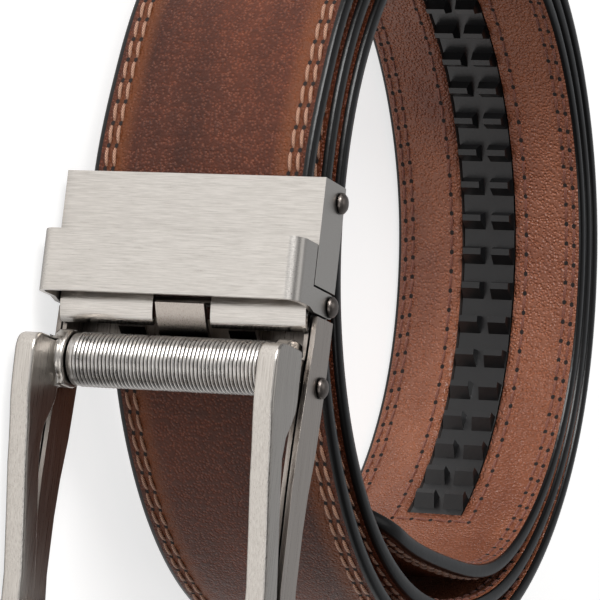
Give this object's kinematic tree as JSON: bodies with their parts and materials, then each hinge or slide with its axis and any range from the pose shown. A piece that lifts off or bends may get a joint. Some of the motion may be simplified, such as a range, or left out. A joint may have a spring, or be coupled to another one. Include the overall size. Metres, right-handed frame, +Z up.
{
  "type": "leather ratchet belt",
  "caption": "Coiled brown leather belt with an open-frame metal ratchet buckle, a ribbed roller and a toothed rubber track inside the free end.",
  "frame": {"origin": "under the middle of the coiled belt's bounding box, at the height that it rests on", "axes": "+Z up along the coil's axis, +X along the buckle towards the end of its frame, -Y the way that the buckle faces"},
  "size_m": [0.1418, 0.1496, 0.0444],
  "materials": {
    "leather": "satin",
    "rubber": "matte",
    "brushed_metal": "brushed",
    "plain_metal": "satin"
  },
  "bodies": {
    "belt": {"strap": "leather", "track": "rubber", "clamp_case": "brushed_metal", "clamp_jaw": "plain_metal", "clamp_pin": "plain_metal"},
    "buckle": {"collar": "brushed_metal", "hinge_pin": "plain_metal", "chassis": "plain_metal", "side_arm_upper": "plain_metal", "side_arm_lower": "plain_metal", "lip_upper": "brushed_metal", "lip_lower": "brushed_metal", "pawl_pin": "plain_metal"},
    "frame": {"front_frame": "brushed_metal"},
    "roller": {"ribbed_roller": "brushed_metal"},
    "pawl": {"pawl": "plain_metal"}
  },
  "joints": [
    {"name": "buckle_hinge", "type": "hinge", "parent": "belt", "child": "buckle", "pos_m": [0.0139, -0.05703, 0.02219], "axis": [0, 0.0359, 0.9994], "range_deg": [0, 16]},
    {"name": "frame_lift", "type": "hinge", "parent": "buckle", "child": "frame", "pos_m": [0.0243, -0.06282, 0.0224], "axis": [0, -0.0359, -0.9994], "range_deg": [0, 15]},
    {"name": "roller_spin", "type": "hinge", "parent": "buckle", "child": "roller", "pos_m": [0.0243, -0.06282, 0.0224], "axis": [0, 0.0359, 0.9994], "continuous": true},
    {"name": "pawl_pivot", "type": "hinge", "parent": "buckle", "child": "pawl", "pos_m": [0.026, -0.05733, 0.0222], "axis": [0, -0.0359, -0.9994], "range_deg": [0, 8], "stiffness_Nm_per_rad": 0.01}
  ]
}
